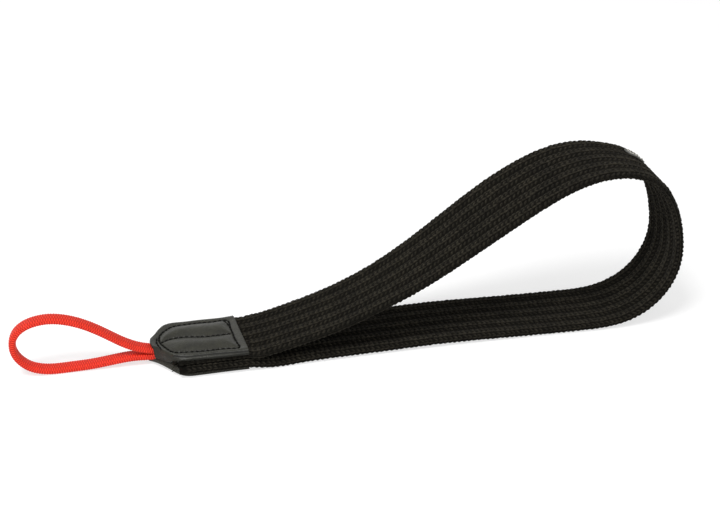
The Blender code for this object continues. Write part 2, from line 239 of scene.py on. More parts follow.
def evenly_spaced(rows, count):
    along = lengths_of(rows)
    wanted = np.linspace(0, along[-1], count)
    return np.stack([np.interp(wanted, along, column) for column in rows.T], axis=1)


def smooth_line(rows, count):
    """Evenly spaced rows on the natural cubic spline through the rows given. A row starts with
    x, y and z, and what comes after them follows the same spline."""
    rows = np.array(rows, float)
    gaps = np.linalg.norm(np.diff(rows[:, :3], axis=0), axis=1)
    knots = np.concatenate(([0.0], np.cumsum(gaps)))
    system = np.eye(len(rows))
    bends = np.zeros_like(rows)
    for i in range(1, len(rows) - 1):
        before, after = gaps[i - 1], gaps[i]
        system[i, i - 1:i + 2] = before, 2 * (before + after), after
        bends[i] = 6 * ((rows[i + 1] - rows[i]) / after - (rows[i] - rows[i - 1]) / before)
    bends = np.linalg.solve(system, bends)
    t = np.linspace(0, knots[-1], 60 * len(rows))
    i = np.clip(np.searchsorted(knots, t, side="right") - 1, 0, len(gaps) - 1)
    gap = gaps[i][:, None]
    a = (knots[i + 1] - t)[:, None] / gap
    b = 1 - a
    curved = (a**3 - a) * bends[i] + (b**3 - b) * bends[i + 1]
    return evenly_spaced(a * rows[i] + b * rows[i + 1] + curved * gap**2 / 6, count)


def add_mark(piece, name, values):
    """Number at each point of a piece, for its material."""
    mark = piece.data.attributes.new(name, "FLOAT", "POINT")
    mark.data.foreach_set("value", np.asarray(values, float).ravel())


def add_piece(name, points, faces, material, nodes=(), second=None):
    """Mesh object that rides on the frame. second is a further material with its face numbers."""
    mesh = bpy.data.meshes.new(name)
    mesh.from_pydata(np.asarray(points).tolist(), [], faces)
    mesh.materials.append(material)
    if second:
        mesh.materials.append(second[0])
        index = np.zeros(len(mesh.polygons), int)
        index[second[1]] = 1
        mesh.polygons.foreach_set("material_index", index)
    mesh.update()
    mesh.shade_smooth()
    piece = bpy.data.objects.new(name, mesh)
    bpy.context.scene.collection.objects.link(piece)
    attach(piece, "root")
    if nodes:
        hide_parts(*nodes)
    return piece


def strip_faces(rows, columns, wrap):
    """Four-sided faces over a grid of points, row after row. wrap joins the last column to the
    first."""
    i = np.arange(rows - 1)[:, None]
    j = np.arange(columns if wrap else columns - 1)[None, :]
    k = (j + 1) % columns
    quads = np.stack([i * columns + j, i * columns + k, (i + 1) * columns + k,
                      (i + 1) * columns + j], axis=-1)
    return quads.reshape(-1, 4).tolist()


def border_of(rows, columns):
    """Row and column numbers of a grid's outermost points, once round."""
    border = [(0, j) for j in range(columns)]
    border += [(i, columns - 1) for i in range(1, rows)]
    border += [(rows - 1, j) for j in range(columns - 2, -1, -1)]
    border += [(i, 0) for i in range(rows - 2, 0, -1)]
    return np.array(border).T


def closed_tube(rings):
    """Points and faces of a tube through rings of points, closed at both ends."""
    count, sides = rings.shape[:2]
    faces = strip_faces(count, sides, True)
    faces.append(list(range(sides))[::-1])
    faces.append(list(range((count - 1) * sides, count * sides)))
    return rings.reshape(-1, 3), faces


def pods(rings, first, last):
    """Many closed pods at once. rings is pods x rings x sides x 3, first and last their ends."""
    many, count, sides = rings.shape[:3]
    points = np.concatenate([rings.reshape(many, -1, 3), first[:, None], last[:, None]], axis=1)
    each = count * sides + 2
    quads = np.array(strip_faces(count, sides, True))
    j = np.arange(sides)
    k = (j + 1) % sides
    ends = np.concatenate([
        np.stack([np.full(sides, each - 2), k, j], axis=1),
        np.stack([np.full(sides, each - 1), (count - 1) * sides + j, (count - 1) * sides + k],
                 axis=1)])
    shift = (np.arange(many) * each)[:, None, None]
    faces = (quads[None] + shift).reshape(-1, 4).tolist()
    faces += (ends[None] + shift).reshape(-1, 3).tolist()
    return points.reshape(-1, 3), faces


# Materials

def new_material(name, colour, roughness, **sockets):
    material = bpy.data.materials.new(name)
    material.use_nodes = True
    tree = material.node_tree
    shader = tree.nodes["Principled BSDF"]
    shader.inputs["Base Color"].default_value = (*colour, 1)
    shader.inputs["Roughness"].default_value = roughness
    for socket, value in sockets.items():
        shader.inputs[socket.replace("_", " ")].default_value = value
    return material, tree, shader


def noise(tree, scale, detail=4.0, roughness=0.55, stretch=None):
    """Noise at so many bumps to the metre."""
    place = tree.nodes.new("ShaderNodeTexCoord")
    texture = tree.nodes.new("ShaderNodeTexNoise")
    texture.inputs["Scale"].default_value = scale
    texture.inputs["Detail"].default_value = detail
    texture.inputs["Roughness"].default_value = roughness
    if stretch:
        mapping = tree.nodes.new("ShaderNodeMapping")
        mapping.inputs["Scale"].default_value = stretch
        tree.links.new(place.outputs["Object"], mapping.inputs["Vector"])
        tree.links.new(mapping.outputs["Vector"], texture.inputs["Vector"])
    else:
        tree.links.new(place.outputs["Object"], texture.inputs["Vector"])
    return texture.outputs["Fac"]


def cells(tree, scale):
    place = tree.nodes.new("ShaderNodeTexCoord")
    texture = tree.nodes.new("ShaderNodeTexVoronoi")
    texture.inputs["Scale"].default_value = scale
    tree.links.new(place.outputs["Object"], texture.inputs["Vector"])
    return texture.outputs["Distance"]


def ramp(tree, value, low, high, first, last):
    """Colour that goes from first to last as value goes from low to high."""
    stops = tree.nodes.new("ShaderNodeValToRGB")
    stops.color_ramp.elements[0].position = low
    stops.color_ramp.elements[0].color = (*first, 1)
    stops.color_ramp.elements[1].position = high
    stops.color_ramp.elements[1].color = (*last, 1)
    tree.links.new(value, stops.inputs["Fac"])
    return stops.outputs["Color"]


def spread(tree, value, low, high, lowest=0.0):
    """value, from lowest to 1, spread from low to high."""
    mapped = tree.nodes.new("ShaderNodeMapRange")
    mapped.inputs["From Min"].default_value = lowest
    mapped.inputs["To Min"].default_value = low
    mapped.inputs["To Max"].default_value = high
    tree.links.new(value, mapped.inputs["Value"])
    return mapped.outputs["Result"]


def clear_rays(tree):
    """1 for the rays of the camera, of mirror-like surfaces and of clear ones."""
    rays = tree.nodes.new("ShaderNodeLightPath")
    result = rays.outputs["Is Camera Ray"]
    for other in ("Is Glossy Ray", "Is Transmission Ray"):
        either = tree.nodes.new("ShaderNodeMath")
        either.operation = "MAXIMUM"
        tree.links.new(result, either.inputs[0])
        tree.links.new(rays.outputs[other], either.inputs[1])
        result = either.outputs[0]
    return result


def multiply(tree, one, other):
    mixed = tree.nodes.new("ShaderNodeMix")
    mixed.data_type = "RGBA"
    mixed.blend_type = "MULTIPLY"
    mixed.inputs["Factor"].default_value = 1.0
    tree.links.new(one, mixed.inputs["A"])
    tree.links.new(other, mixed.inputs["B"])
    return mixed.outputs["Result"]


def bump(tree, shader, height, distance, strength=1.0, under=None):
    node = tree.nodes.new("ShaderNodeBump")
    node.inputs["Distance"].default_value = distance
    node.inputs["Strength"].default_value = strength
    tree.links.new(height, node.inputs["Height"])
    if under:
        tree.links.new(under, node.inputs["Normal"])
    tree.links.new(node.outputs["Normal"], shader.inputs["Normal"])
    return node.outputs["Normal"]


def knit_material():
    """Black cotton yarn: fibres as fine bumps, and lighter where the knit is rubbed."""
    material, tree, shader = new_material("black_knit", (0.02, 0.018, 0.016), 0.92,
                                          Sheen_Weight=0.04, Sheen_Roughness=0.5)
    shader.inputs["Sheen Tint"].default_value = (0.85, 0.80, 0.72, 1)
    shader.inputs["Specular IOR Level"].default_value = 0.07
    # This mark paints shade and highlight into the yarn's colour: darker on the core, at the legs'
    # ends and undersides and in the grooves, lighter along the ribs' far sides; on the frayed ends
    # it is a random tone
    crown = tree.nodes.new("ShaderNodeAttribute")
    crown.attribute_name = "crown"
    stitch = ramp(tree, crown.outputs["Fac"], 0.10, 0.95, (0.0032, 0.0029, 0.0020),
                  (0.032, 0.0290, 0.0222))
    yarn = ramp(tree, noise(tree, 2600, 3), 0.32, 0.72, (0.60, 0.60, 0.60), (1.35, 1.34, 1.32))
    wear = ramp(tree, noise(tree, 160, 5), 0.35, 0.75, (0.80, 0.80, 0.80), (1.30, 1.28, 1.22))
    tree.links.new(multiply(tree, multiply(tree, stitch, yarn), wear), shader.inputs["Base Color"])
    bump(tree, shader, noise(tree, 7000, 4, 0.65), 0.00010, 0.8)
    return material


def leather_material():
    """Black grained leather with a soft shine."""
    material, tree, shader = new_material("black_leather", (0.02, 0.02, 0.018), 0.45)
    shader.inputs["Specular IOR Level"].default_value = 0.34
    tone = ramp(tree, noise(tree, 420, 6), 0.3, 0.75, (0.0066, 0.0064, 0.0028),
                (0.0190, 0.0186, 0.0098))
    # Painted shade: this mark darkens the base colour along the seams and the fold, on the rolled
    # edges and the tip, and on the rounded rim of the cut edge, and it raises the roughness there
    # too
    painted_shade = tree.nodes.new("ShaderNodeAttribute")
    painted_shade.attribute_name = "painted_shade"
    shade = ramp(tree, painted_shade.outputs["Fac"], 0.15, 0.85, (1, 1, 1), (0.10, 0.10, 0.10))
    tree.links.new(multiply(tree, tone, shade), shader.inputs["Base Color"])
    worn = spread(tree, noise(tree, 900, 5), 0.32, 0.52)
    dull = tree.nodes.new("ShaderNodeMath")
    dull.operation = "MAXIMUM"
    tree.links.new(worn, dull.inputs[0])
    tree.links.new(painted_shade.outputs["Fac"], dull.inputs[1])
    tree.links.new(dull.outputs[0], shader.inputs["Roughness"])
    folds = bump(tree, shader, noise(tree, 1000, 4, 0.6, (1.0, 0.35, 0.6)), 0.00024, 0.7)
    grain = bump(tree, shader, cells(tree, 2100), 0.00010, 0.55, under=folds)
    bump(tree, shader, noise(tree, 5200, 4), 0.00005, 0.5, under=grain)
    return material


def raw_edge_material():
    """Cut edge of the leather: paler, with fibres."""
    material, tree, shader = new_material("cut_leather_edge", (0.02, 0.02, 0.017), 0.8)
    shader.inputs["Specular IOR Level"].default_value = 0.1
    tone = ramp(tree, noise(tree, 3000, 5), 0.3, 0.7, (0.022, 0.0215, 0.018), (0.070, 0.068, 0.058))
    tree.links.new(tone, shader.inputs["Base Color"])
    bump(tree, shader, noise(tree, 6000, 4), 0.00008, 0.7)
    return material


def thread_material():
    material, tree, shader = new_material("black_thread", (0.005, 0.005, 0.005), 0.75)
    shader.inputs["Specular IOR Level"].default_value = 0.1
    tone = ramp(tree, noise(tree, 5000, 3), 0.3, 0.7, (0.001, 0.001, 0.0009), (0.006, 0.006, 0.005))
    tree.links.new(tone, shader.inputs["Base Color"])
    bump(tree, shader, noise(tree, 9000, 2), 0.00005, 0.6)
    return material


def braid_material():
    """Red polyester braid: painted shade makes it deep red between the picks, and a painted
    highlight makes it paler on their crowns.
    """
    material, tree, shader = new_material("red_braid", (0.74, 0.05, 0.035), 0.55,
                                          Sheen_Weight=0.05, Sheen_Roughness=0.4)
    shader.inputs["Sheen Tint"].default_value = (1.0, 0.45, 0.35, 1)
    shader.inputs["Specular IOR Level"].default_value = 0.2
    # Painted shade and highlight: this mark runs from the dark valleys between the picks to their
    # lit crowns
    height = tree.nodes.new("ShaderNodeAttribute")
    height.attribute_name = "pick"
    tone = ramp(tree, height.outputs["Fac"], 0.30, 0.95, (0.44, 0.006, 0.003), (0.94, 0.056, 0.026))
    mottle = ramp(tree, noise(tree, 700, 5), 0.3, 0.7, (0.88, 0.88, 0.88), (1.06, 1.06, 1.06))
    tree.links.new(multiply(tree, tone, mottle), shader.inputs["Base Color"])
    bump(tree, shader, noise(tree, 9000, 3), 0.00004, 0.5)
    return material


def pale_thread_material():
    material, tree, shader = new_material("pale_thread", (0.5, 0.48, 0.43), 0.7)
    tone = ramp(tree, noise(tree, 5000, 3), 0.3, 0.7, (0.34, 0.32, 0.28), (0.66, 0.64, 0.58))
    tree.links.new(tone, shader.inputs["Base Color"])
    bump(tree, shader, noise(tree, 9000, 2), 0.00005, 0.6)
    return material


def label_material():
    """Glossy bare grey patch with faint scuffs."""
    material, tree, shader = new_material("grey_label", (0.14, 0.14, 0.13), 0.22)
    shader.inputs["Specular IOR Level"].default_value = 0.12
    tone = ramp(tree, noise(tree, 500, 4), 0.3, 0.7, (0.085, 0.085, 0.078), (0.125, 0.125, 0.115))
    tree.links.new(tone, shader.inputs["Base Color"])
    tree.links.new(spread(tree, noise(tree, 1800, 5), 0.30, 0.48), shader.inputs["Roughness"])
    bump(tree, shader, noise(tree, 1500, 3), 0.00004, 0.4)
    return material


KNIT = knit_material()
LEATHER = leather_material()
RAW_EDGE = raw_edge_material()
THREAD = thread_material()
BRAID = braid_material()
LABEL = label_material()
PALE_THREAD = pale_thread_material()


# Knitted band

def band_rows():
    """Middle line of the band, as rows of x, y, z and lean, from its upper end to its lower."""
    straight = [BAND_END_X, (BAND_END_X + SQUARE_END_X) / 2, SQUARE_END_X - 0.0023, SQUARE_END_X]
    rows = [(x, 0.0, UPPER_LAYER_Z, 0.0) for x in straight]
    for reach, drift, height, lean in LOOP_OVER:
        lift = max(height * LOOP_HEIGHT, BAND_THICKNESS / 2)
        rows.append((SQUARE_END_X + reach * LOOP_REACH, drift, lift, lean))
    for reach, drift, lift in LOOP_BACK:
        rows.append((SQUARE_END_X + reach * LOOP_REACH, drift, BAND_THICKNESS / 2 + lift, 0.0))
    rows += [(x, 0.0, LOWER_LAYER_Z, 0.0) for x in reversed(straight)]
    return rows


ROUTE = smooth_line(band_rows(), 1600)
ALONG = lengths_of(ROUTE)
AHEAD = unit(np.gradient(ROUTE[:, :3], axis=0))
SQUARE_NEAR = unit(np.array([0, -1, 0]) + AHEAD * AHEAD[:, 1:2])
LEAN = np.radians(ROUTE[:, 3:4])
NEAR = SQUARE_NEAR * np.cos(LEAN) + np.cross(AHEAD, SQUARE_NEAR) * np.sin(LEAN)
INWARD = np.cross(AHEAD, NEAR)


def on_band(along, across, up):
    """Places on the band: along it, across towards its near edge, and up into the loop."""
    def read(columns):
        return np.stack([np.interp(along, ALONG, column) for column in columns.T], axis=-1)
    place = read(ROUTE[:, :3])
    freed = smooth_step((place[..., 0] - SQUARE_END_X) / SQUEEZE_RUN)
    squeeze = SEWN_THICKNESS / BAND_THICKNESS
    up = up * (squeeze + (1 - squeeze) * freed)
    tucked = (1 - freed) * (along < ALONG[-1] / 2) * (across > 0)
    across = across * (1 - NEAR_TUCK * tucked)
    points = place + read(NEAR) * across[..., None] + read(INWARD) * up[..., None]
    points[..., 2] = np.maximum(points[..., 2], TABLE_CLEARANCE)
    return points


def make_core():
    """Dark ribbed body inside the knit, which closes the view between the stitches; its dark tone
    is painted shade.
    """
    steps = 8
    outline = []
    for i in range(RIB_COUNT * steps + 1):
        angle = pi * (i % steps) / steps
        across = (i // steps + 0.5 - cos(angle) / 2) * RIB_WIDTH - BAND_WIDTH / 2
        at_edge = i in (0, RIB_COUNT * steps)
        rise = 0.0 if at_edge else max(sin(angle) * CORE_DEPTH, 0.62 * CORE_DEPTH)
        outline.append((across * 0.975, rise))
    outline += [(across, -rise) for across, rise in reversed(outline[1:-1])]
    outline = np.array(outline)
    along = np.linspace(CORE_INSET, ALONG[-1] - CORE_INSET, 320)[:, None]
    across, up = outline.T
    points, faces = closed_tube(on_band(along + 0 * across, across, up))
    core = add_piece("knit_core", points, faces, KNIT, ["knitted_band"])
    add_mark(core, "crown", np.full(len(points), CORE_SHADE_TONE))
    return core


# Lengths round a rib's oval section, from its inner crown towards the near edge
TURN = np.linspace(0, 2 * pi, 721)
OVAL = np.stack([CORE_HALF_WIDTH * np.sin(TURN), CORE_DEPTH * np.cos(TURN), 0 * TURN], axis=1)
ROUND = lengths_of(OVAL)


def on_rib(middle, along, around, lift):
    """Places round one rib, by the length round its oval and the height over it."""
    turn = np.interp(around % ROUND[-1], ROUND, TURN)
    slope = np.stack([CORE_DEPTH * np.sin(turn), CORE_HALF_WIDTH * np.cos(turn)], axis=-1)
    slope = unit(slope)
    across = middle + CORE_HALF_WIDTH * np.sin(turn) + slope[..., 0] * lift
    up = CORE_DEPTH * np.cos(turn) + slope[..., 1] * lift
    return on_band(along, across, up)


def make_rib(number):
    """One rib's stitches: two wales of V stitches on each face, and one more at a free edge."""
    middle = (number + 0.5) * RIB_WIDTH - BAND_WIDTH / 2
    half = ROUND[-1] / 2
    wales = [(side * WALE_WIDTH / 2, WALE_WIDTH, -1, 1.0) for side in (-1, 1)]
    wales += [(side * WALE_WIDTH / 2 + half, WALE_WIDTH, 1, 1.0) for side in (-1, 1)]
    if number == RIB_COUNT - 1:
        wales.append((half / 2, half - 2 * WALE_WIDTH, -1, 0.35))
    if number == 0:
        wales.append((1.5 * half, half - 2 * WALE_WIDTH, 1, 0.35))
    courses = int((ALONG[-1] - COURSE) / COURSE)
    ring_shares = np.array([0.12, 0.36, 0.62, 0.88])
    sides = 6
    turn = np.arange(sides) * 2 * pi / sides
    all_rings, all_first, all_last, all_sides, all_tones = [], [], [], [], []
    for middle_of_wale, width, far_hand, relief in wales:
        start = COURSE * (0.6 + 0.5 * rng.random())
        for hand in (-1, 1):
            length, close, wide_end = LYING_LEG if hand == far_hand else RAISED_LEG
            half_width = LEG_WIDTH if hand == far_hand else LEG_WIDTH + RAISED_EXTRA
            if relief < 1:
                length = LYING_LEG[0]
            place = start + COURSE * np.arange(courses) + rng.normal(0, 0.05 * COURSE, courses)
            aside = rng.normal(0, 0.03 * width, courses)
            size = 1 + rng.normal(0, 0.07, courses)
            lift = rng.normal(0, 0.00003, courses)

            def leg(share, turned, wide, deep):
                share = np.broadcast_to(share, (courses,) + share.shape[1:])
                grow = size.reshape(-1, *[1] * (share.ndim - 1))
                shift = aside.reshape(grow.shape)
                along = place.reshape(grow.shape) - (share - 0.5) * length
                spread_out = (close + (wide_end - close) * share) * width * hand
                around = middle_of_wale + spread_out + shift + np.cos(turned) * wide * grow
                high = relief * LEG_LIFT * (1.9 * np.sin(pi * share) - 0.9)
                high = high + relief * lift.reshape(grow.shape)
                return on_rib(middle, along, around, high + np.sin(turned) * deep * grow)

            share = ring_shares[None, :, None]
            fat = np.sin(pi * (0.08 + 0.84 * share)) ** 0.55
            narrow = min(1.0, width / WALE_WIDTH)
            all_rings.append(leg(share + 0 * turn, turn, half_width * fat * narrow,
                                 LEG_DEPTH * fat))
            ends = np.array([[-0.02], [1.02]])[:, None, :]
            all_first.append(leg(ends[0][None, 0], 0.0, 0.0, 0.0)[:, 0])
            all_last.append(leg(ends[1][None, 0], 0.0, 0.0, 0.0)[:, 0])
            centre = middle_of_wale + (close + wide_end) / 2 * width * hand
            from_crown = abs((centre + half / 2) % half - half / 2)
            all_sides.append(np.full(courses, from_crown))
            at_far_side = hand == far_hand and from_crown > GROOVE_START
            # Painted highlight: lying legs along a rib's far side get a brighter tone
            all_tones.append(np.full(courses, FAR_SIDE_HIGHLIGHT if at_far_side else 1.0))
    rings = np.concatenate(all_rings)
    points, faces = pods(rings, np.concatenate(all_first), np.concatenate(all_last))
    rib = add_piece(f"knit_rib_{number + 1}", points, faces, KNIT)
    # Painted shade: each leg darkens towards its ends and its side against the core, and legs
    # darken towards the grooves between ribs; the random factor varies the tone from leg to leg
    heights = np.outer(np.sin(pi * ring_shares) ** 0.5, 0.5 + 0.5 * np.sin(turn)).ravel()
    heights = np.append(heights, (0.0, 0.0))
    into_groove = smooth_step((np.concatenate(all_sides) - GROOVE_START) / GROOVE_RUN)
    shade = 1 - GROOVE_SHADE * into_groove
    tones = np.concatenate(all_tones)
    tones = np.where(tones > 1, tones * np.sqrt(shade), shade)
    tones = rng.uniform(0.68, 1.12, len(rings)) * tones
    add_mark(rib, "crown", np.outer(tones, heights))
    return rib


# Leather covers

def distance_to(line, x, y, closed):
    """Distance of each place to a flat line, in the line's own unit."""
    line = np.asarray(line, float)
    if closed:
        line = np.vstack([line, line[:1]])
    best = np.full(np.shape(x), np.inf)
    for one, other in zip(line, line[1:]):
        step = other - one
        share = np.clip(((x - one[0]) * step[0] + (y - one[1]) * step[1]) / (step @ step), 0, 1)
        gap = np.hypot(x - one[0] - share * step[0], y - one[1] - share * step[1])
        best = np.minimum(best, gap)
    return best


def is_inside(line, x, y):
    inside = np.zeros(np.shape(x), bool)
    line = np.asarray(line, float)
    for one, other in zip(line, np.roll(line, -1, axis=0)):
        crosses = (one[1] > y) != (other[1] > y)
        with np.errstate(divide="ignore", invalid="ignore"):
            where = one[0] + (y - one[1]) * (other[0] - one[0]) / (other[1] - one[1])
        inside ^= crosses & (x < where)
    return inside


def rounded(line, closed, count):
    """The same flat line through smooth bends, as evenly spaced places."""
    rows = np.array([(x, y, 0.0) for x, y in line], float)
    if not closed:
        return smooth_line(rows, count)[:, :2]
    around = np.vstack([rows[-4:], rows, rows[:4]])
    smooth = smooth_line(around, 12 * len(around))
    away = np.linalg.norm(smooth - rows[0], axis=1)
    half = len(smooth) // 2
    first = np.argmin(away[:half])
    last = half + np.argmin(away[half:])
    return evenly_spaced(smooth[first:last + 1], count + 1)[:-1, :2]


EDGE_LINE = rounded(EDGE_SEAM, True, 150) / 1000
MIDDLE_LINE = rounded(MIDDLE_SEAM, False, 60) / 1000
TIP_LINE = rounded(TIP_SEAM, False, 16) / 1000
CORNER_LINE = rounded(CORNER_SEAM, False, 14) / 1000
FOLD_LINE = rounded(FOLD, False, 40) / 1000


def softened(grid, rounds):
    """Heights on a grid, each taken to the mean of its neighbours that many times."""
    for _ in range(rounds):
        wide = np.pad(grid, 1, mode="edge")
        grid = (wide[1:-1, 1:-1] + wide[:-2, 1:-1] + wide[2:, 1:-1] + wide[1:-1, :-2]
                + wide[1:-1, 2:]) / 5
    return grid


def sheet_face(table, outward):
    """Outer face of a cover as a grid of places, with the painted shade of each place. outward is 1
    on top and -1 underneath.
    """
    rows = smooth_line(np.array(table) / 1000, SHEET_ROWS)
    share = np.linspace(0, 1, SHEET_COLUMNS)
    share = 0.65 * share + 0.35 * (0.5 - 0.5 * np.cos(pi * share))
    share = share[None, :]
    near, far = rows[:, None, 0:3], rows[:, None, 3:6]
    flat = near + (far - near) * share[..., None]
    x, y = flat[..., 0], flat[..., 1]
    tip = smooth_step((np.arange(SHEET_ROWS) / (SHEET_ROWS - 1) - 0.86) / 0.14)[:, None]
    x = x - TIP_BULGE / 1000 * tip * np.sin(pi * share)
    crown, run = rows[:, 6:7], rows[:, 7:8]
    wide = np.linalg.norm((far - near)[..., :2], axis=-1)
    from_near = np.clip(share * wide / run, 0, 1)
    from_far = np.clip((1 - share) * wide / run, 0, 1)
    z = crown + (near[..., 2] - crown) * (1 - np.sin(pi / 2 * from_near))
    z = z + (far[..., 2] - crown) * (1 - np.sin(pi / 2 * from_far))
    edge = distance_to(EDGE_LINE, x, y, True)
    middle = distance_to(MIDDLE_LINE, x, y, False)
    inside = is_inside(EDGE_LINE, x, y)
    nearest = np.where(inside, np.minimum(edge, middle), edge)
    dent = np.exp(-(nearest / SEAM_RUN) ** 2)
    # Painted shade: the colour darkens along the seams
    dark = 0.9 * np.exp(-(nearest / SEAM_SHADE_RUN) ** 2)
    if outward > 0:
        # More painted shade along the tip, corner and fold lines, on the rolled near and far edges
        # and towards the tip
        for line, depth in ((TIP_LINE, 1.0), (CORNER_LINE, 1.0), (FOLD_LINE, FOLD_SHARE)):
            gap = distance_to(line, x, y, False)
            dent = np.maximum(dent, depth * np.exp(-(gap / SEAM_RUN) ** 2))
            dark = np.maximum(dark, depth * np.exp(-(gap / SEAM_SHADE_RUN) ** 2))
        near_roll = smooth_step((0.8 - from_near) / 0.5)
        far_roll = 0.8 * smooth_step((0.7 - from_far) / 0.5)
        rolled = np.maximum(near_roll, far_roll)
        dark = np.maximum(dark, ROLL_SHADE * np.maximum(rolled, tip))
    pucker = np.cos(2 * pi * x / PUCKER_PITCH) * np.exp(-(nearest / PUCKER_REACH) ** 2)
    valley = SEAM_DEPTH * dent + PUCKER_DEPTH * pucker
    run_share = np.clip(nearest / PUFF_RUN, 0, 1)
    swell = 0.55 * run_share * (2 - run_share) + 0.45 * smooth_step(run_share)
    margin = MARGIN_PUFF * PUFF_HEIGHT * np.minimum(swell * 1.6, 1)
    puff = np.where(inside, PUFF_HEIGHT * swell, margin)
    puff = softened(puff, PUFF_ROUNDS) * (1 - np.exp(-(nearest / PUFF_REACH) ** 2))
    shape = -valley + (puff if outward > 0 else UNDERSIDE_PUFF * puff)
    z = z + shape if outward > 0 else np.maximum(z - np.minimum(shape, 0.0), TABLE_CLEARANCE)
    return np.stack([x, y, z], axis=-1), dark


def make_cover(name, table, outward, nodes):
    """A cover with its thickness and a rounded cut edge."""
    outer, painted_shade = sheet_face(table, outward)
    slope = np.cross(np.gradient(outer, axis=0), np.gradient(outer, axis=1))
    slope = unit(slope) * np.sign(slope[..., 2:3]) * outward
    thickness = np.full((SHEET_ROWS, SHEET_COLUMNS), SHEET_THICKNESS)
    if outward < 0:
        across = np.linspace(0, 1, SHEET_COLUMNS)[None, :]
        width = np.linalg.norm(outer[:, :1, :2] - outer[:, -1:, :2], axis=-1)
        from_rim = np.minimum(across, 1 - across) * width
        narrowing = smooth_step((NARROWING_X - outer[..., 0]) / NARROWING_RUN)
        thickness += RIM_EXTRA * narrowing * np.exp(-(from_rim / RIM_WIDTH) ** 2)
    lean = unit(slope + np.array([0, 0, 0.8 * outward]))
    inner = outer - lean * thickness[..., None]
    i, j = border_of(SHEET_ROWS, SHEET_COLUMNS)
    one, other = outer[i, j], inner[i, j]
    run = np.roll(one, -1, axis=0) - np.roll(one, 1, axis=0)
    out = unit(np.cross(run, slope[i, j]))
    middle = outer.mean(axis=(0, 1))
    out *= np.sign(((one - middle) * out).sum(axis=1, keepdims=True))
    bulge = EDGE_BULGE * SHEET_THICKNESS
    profile = TOP_EDGE if outward > 0 else BOTTOM_EDGE
    rims = [one + (other - one) * share + out * bulge * depth for share, depth in profile]
    count = SHEET_ROWS * SHEET_COLUMNS
    points = np.concatenate([outer.reshape(-1, 3), inner.reshape(-1, 3)] + rims)
    grid = np.array(strip_faces(SHEET_ROWS, SHEET_COLUMNS, False))
    faces = grid[:, ::-1].tolist() if outward > 0 else grid.tolist()
    back = grid + count
    faces += back.tolist() if outward > 0 else back[:, ::-1].tolist()
    loops = [i * SHEET_COLUMNS + j]
    loops += [2 * count + k * len(i) + np.arange(len(i)) for k in range(len(rims))]
    loops.append(loops[0] + count)
    rim_start = len(faces)
    for above, below in zip(loops, loops[1:]):
        quads = np.stack([above, np.roll(above, -1), np.roll(below, -1), below], axis=1)
        faces += (quads[:, ::-1] if outward > 0 else quads).tolist()
    pale_from = rim_start + (3 * len(i) if outward > 0 else 0)
    rim_faces = np.arange(pale_from, len(faces))
    cover = add_piece(name, points, faces, LEATHER, nodes, (RAW_EDGE, rim_faces))
    # Painted shade mark: the outer face's shade from its seams, fold and rolled edges, none on the
    # inner face, and a fixed share on the rim of the cut edge
    marks = np.zeros(len(points))
    marks[:count] = painted_shade.ravel()
    marks[2 * count:] = RIM_SHADE
    add_mark(cover, "painted_shade", marks)
    return cover, BVHTree.FromPolygons([Vector(p) for p in points], faces)


def thread_arc(centres, radius, shares):
    """Rings round a short thread and its two end points. shares run from -0.5 to 0.5."""
    sides = 8
    turn = np.arange(sides) * 2 * pi / sides
    ahead = unit(np.gradient(centres, axis=0))
    aside = unit(np.cross(ahead, (0.02, 0.01, 1)))
    rise = np.cross(aside, ahead)
    fat = radius * np.sqrt(np.clip(1 - (1.9 * shares) ** 4, 0.12, 1))[:, None, None]
    ring = centres[:, None] + fat * (aside[:, None] * np.cos(turn)[None, :, None]
                                     + rise[:, None] * np.sin(turn)[None, :, None])
    return ring, centres[0] - ahead[0] * radius * 0.4, centres[-1] + ahead[-1] * radius * 0.4


def make_stitches(name, line, closed, tree, outward, nodes):
    """Lock stitches along a seam: short thread arcs that dive into the leather at their ends."""
    rows = np.array([(x, y, 0.0) for x, y in line])
    if closed:
        rows = np.vstack([rows, rows[:1]])
    along = lengths_of(rows)
    count = round(along[-1] / STITCH_PITCH)
    pitch = along[-1] / count
    shares = np.linspace(-0.5, 0.5, 7)
    arcs = []
    for k in range(count):
        middle = (k + 0.5) * pitch + rng.normal(0, 0.03 * pitch)
        at = middle + shares * pitch * STITCH_SHARE
        x, y = (np.interp(at, along, rows[:, c]) for c in (0, 1))
        heights = []
        for px, py in zip(x, y):
            hit = tree.ray_cast(Vector((px, py, 0.02 * outward)), Vector((0, 0, -outward)))[0]
            heights.append(hit.z)
        arch = THREAD_RISE - THREAD_DIVE * (2 * np.abs(shares)) ** 3
        z = np.array(heights) + outward * arch
        if outward < 0:
            z = np.maximum(z, THREAD_RADIUS * 1.15 + TABLE_CLEARANCE)
        centres = np.stack([x, y, z], axis=1)
        arcs.append(thread_arc(centres, THREAD_RADIUS * (1 + rng.normal(0, 0.04)), shares))
    points, faces = pods(*(np.array(part) for part in zip(*arcs)))
    return add_piece(name, points, faces, THREAD, nodes)


